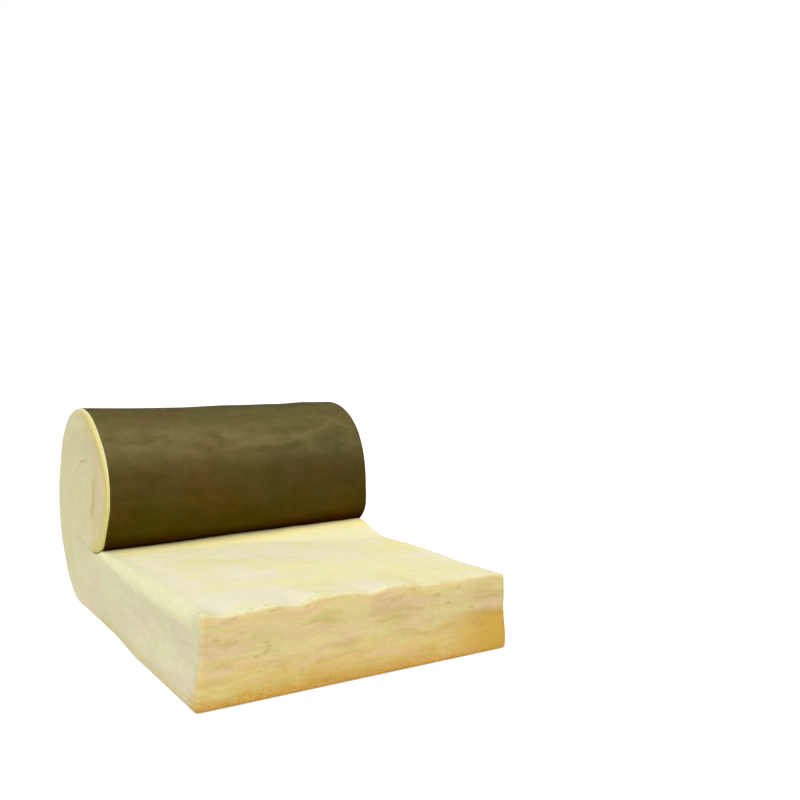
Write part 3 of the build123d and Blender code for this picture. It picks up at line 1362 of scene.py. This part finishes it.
@dataclass
class LooseFibres:
    """Stray wisps of wool on the bare side, the cut faces and the edges, as one joined piece.

    The pairs are the least and the most of what chance picks, and curl is its usual size. The
    way out of the wool at a root is found with a point inwards of it, by probe.
    """

    winding: Winding
    softness: Softness
    material: bpy.types.Material
    on_top: int = 700
    on_edges: int = 600
    on_cuts: int = 500
    open_end: float = 0.46
    length: Ends = (0.005, 0.014)
    lift: Ends = (0.0002, 0.0014)
    bend: Ends = (0.45, 1.0)
    curl: float = 0.0030
    spread: Triple = (1.0, 1.0, 0.7)
    slant: float = 0.7
    on_side: Ends = (0.02, 0.97)
    on_front: Ends = (0.05, 0.95)
    probe: float = 0.002
    rooted: float = 0.0004
    radius: float = 0.00014
    taper: tuple[float, ...] = (0.6, 1.0, 0.9, 0.35)
    seed: int = 8

    def _roots(self, rng: np.random.Generator) -> tuple[Array, Array]:
        """Picks the wisps' roots and the way into the wool at each.

        Args:
            rng: the seeded source of chance.

        Returns:
            The roots as (x, s, t), and unit steps inwards in the same coordinates, in metres.
        """
        half, end, slant = self.winding.width / 2, self.winding.length, self.slant
        groups = []

        def group(
            count: int, x: float | Ends, s: float | Ends, t: float | Ends, inward: Triple
        ) -> None:
            """Adds count wisps; each coordinate is a number or a low and a high end."""
            columns = [
                rng.uniform(*v, count) if isinstance(v, tuple) else np.full(count, v)
                for v in (x, s, t)
            ]
            groups.append((np.column_stack(columns), np.tile(inward, (count, 1))))

        group(self.on_top, (-half, half), (0.0, self.open_end), 1.0, (0.0, 0.0, -1.0))
        group(self.on_edges // 2, (-half, half), 0.0, 1.0, (0.0, slant, -slant))
        for side in (-half, half):
            inner = -math.copysign(1.0, side)
            leaning = (slant * inner, 0.0, -slant)
            group(self.on_edges // 4, side, (0.0, self.open_end), 1.0, leaning)
            group(self.on_cuts // 3, side, (0.0, end), self.on_side, (inner, 0.0, 0.0))
        group(self.on_cuts // 3, (-half, half), 0.0, self.on_front, (0.0, 1.0, 0.0))
        roots, inward = (np.concatenate(part) for part in zip(*groups, strict=True))
        inward[:, 2] /= self.winding.flat_thickness
        return roots, inward

    def build(self) -> bpy.types.Object:
        """Builds all wisps at once, each a thin three-sided spindle along a curved path.

        A path goes from its root along the surface by its length times a, out of it by its
        lift times the sine of a bent angle, and sideways by its curl times a squared.

        Returns:
            The joined wisps' object.
        """
        rng = np.random.default_rng(self.seed)
        roots, inward = self._roots(rng)
        count, rings = len(roots), len(self.taper)
        base = self.softness.place(roots)
        outward = unit(base - self.softness.place(roots + self.probe * inward))
        chance = rng.normal(size=(count, 3)) * self.spread
        along = unit(chance - (chance * outward).sum(axis=1, keepdims=True) * outward)
        beside = np.cross(outward, along)
        ranges = (self.length, self.lift)
        length, lift = (rng.uniform(*ends, count)[:, None, None] for ends in ranges)
        curl = rng.normal(0.0, self.curl, count)[:, None, None]
        bend = rng.uniform(*self.bend, count)[:, None, None] * math.pi
        a = np.linspace(0.0, 1.0, rings)[None, :, None]
        path = (base - self.rooted * outward)[:, None] + along[:, None] * length * a
        path = path + outward[:, None] * lift * np.sin(bend * a) + beside[:, None] * curl * a * a
        path[..., 2] = np.maximum(path[..., 2], 2.0 * self.radius)
        angle = np.radians((90.0, 210.0, 330.0))[None, None, :, None]
        ring = np.cos(angle) * beside[:, None, None] + np.sin(angle) * outward[:, None, None]
        size = (self.radius * np.array(self.taper))[None, :, None, None]
        points = (path[:, :, None] + size * ring).reshape(-1, 3)
        k, j = np.meshgrid(np.arange(rings - 1), np.arange(3), indexing="ij")
        low, low_next = 3 * k + j, 3 * k + (j + 1) % 3
        sides = np.stack([low, low_next, low_next + 3, low + 3], axis=-1)
        first = (np.arange(count) * 3 * rings)[:, None]
        walls = (first[:, :, None] + sides.reshape(1, -1, 4)).reshape(-1, 4)
        caps = np.concatenate([first + (2, 1, 0), first + 3 * (rings - 1) + np.arange(3)])
        strip = np.repeat(roots * (1.0, 1.0, self.winding.flat_thickness), 3 * rings, axis=0)
        faces = walls.tolist() + caps.tolist()
        piece = make_piece("loose_fibres", points, faces, strip, closed=True)
        piece.data.materials.append(self.material)
        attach(piece, "root")
        return piece


# --- The studio ---


@dataclass(frozen=True)
class Sun:
    """A lamp of even level with a wide disc, so that its shadow is soft; angles in degrees."""

    name: str
    energy: float
    tilt: float
    turn: float
    spread: float
    height: float = 3.0

    def build(self) -> None:
        """Makes the lamp; its light leans by tilt from straight down, turned about z."""
        data = bpy.data.lights.new(self.name, "SUN")
        data.energy, data.angle = self.energy, math.radians(self.spread)
        lamp = placed(self.name, data)
        lamp.rotation_euler = (math.radians(self.tilt), 0.0, math.radians(self.turn))
        lamp.location = (0.0, 0.0, self.height)


@dataclass(frozen=True)
class Studio:
    """The floor, the soft lights, the white surroundings and the camera; angles in degrees."""

    floor_half: float = 30.0
    floor_tone: float = 0.80
    floor_lift: float = 0.45
    sky: float = 0.24
    suns: tuple[Sun, ...] = (
        Sun("key", 2.95, 38.0, -36.0, 50.0),
        Sun("fill", 0.75, 86.0, 150.0, 90.0),
    )
    place: Triple = (-0.7793, -1.6611, 0.5236)
    yaw: float = 34.37
    pitch: float = 2.14
    roll: float = 1.28
    lens: float = 38.78
    sensor: float = 36.0
    clip: Ends = (0.05, 200.0)

    def build(self) -> None:
        """Makes everything around the object."""
        self._floor()
        self._world()
        for sun in self.suns:
            sun.build()
        self._camera()

    def _floor(self) -> None:
        """Lays a plain pale floor that reads as white and keeps the object's shadow."""
        mesh = bpy.data.meshes.new("floor")
        corners = np.array([(-1, -1, 0), (1, -1, 0), (1, 1, 0), (-1, 1, 0)]) * self.floor_half
        mesh.from_pydata(corners.tolist(), [], [[0, 1, 2, 3]])
        made = Shading(bpy.data.materials.new("white_floor"))
        tone = (self.floor_tone,) * 3
        feeds = {"Base Color": tone, "Roughness": 1.0, "Specular IOR Level": 0.0}
        plain = made.feed(made.nodes["Principled BSDF"], feeds).outputs[0]
        lift = made.add("Emission", {"Strength": made.times(made.seen(), self.floor_lift)})
        both = made.add("AddShader", {0: plain, 1: lift.outputs[0]}).outputs[0]
        made.feed(made.nodes["Material Output"], {"Surface": both})
        mesh.materials.append(made.owner)
        placed("floor", mesh)

    def _world(self) -> None:
        """Makes the surroundings white where they are seen, and a softer white as light."""
        world = bpy.context.scene.world = bpy.data.worlds.new("studio")
        made = Shading(world)
        level = made.add("MapRange", {"Value": made.seen(), "To Min": self.sky})
        feeds = {"Color": (1.0, 1.0, 1.0), "Strength": level.outputs["Result"]}
        made.feed(made.nodes["Background"], feeds)

    def _camera(self) -> None:
        """Sets up the camera: yaw from +y towards +x, pitch downwards, then roll."""
        data = bpy.data.cameras.new("camera")
        data.lens, data.sensor_width = self.lens, self.sensor
        data.clip_start, data.clip_end = self.clip
        camera = placed("camera", data)
        yaw, pitch, roll = (math.radians(a) for a in (self.yaw, self.pitch, self.roll))
        level = math.cos(pitch)
        forward = np.array([math.sin(yaw) * level, math.cos(yaw) * level, -math.sin(pitch)])
        right = np.array([math.cos(yaw), -math.sin(yaw), 0.0])
        up = np.cross(right, forward)
        matrix = np.eye(4)
        matrix[:3, 0] = math.cos(roll) * right + math.sin(roll) * up
        matrix[:3, 1] = math.cos(roll) * up - math.sin(roll) * right
        matrix[:3, 2], matrix[:3, 3] = -forward, self.place
        camera.matrix_world = Matrix(matrix.tolist())
        bpy.context.scene.camera = camera


def main() -> None:
    """Builds the studio and the pieces, and logs how many vertices and faces each piece has."""
    logging.basicConfig(level=logging.INFO, format="%(name)s: %(message)s")
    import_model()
    bpy.context.scene.view_settings.view_transform = "Standard"
    Studio().build()
    winding = Winding()
    softness = Softness(winding)
    wool = WoolMat(winding, softness, WoolFinish()).build()
    facing = Facing(winding, softness, FleeceFinish()).build()
    fibres = LooseFibres(winding, softness, wool.data.materials[0]).build()
    for piece in (wool, facing, fibres):
        mesh = piece.data
        LOG.info("%s: %d vertices, %d faces", piece.name, len(mesh.vertices), len(mesh.polygons))


if __name__ == "__main__":
    main()
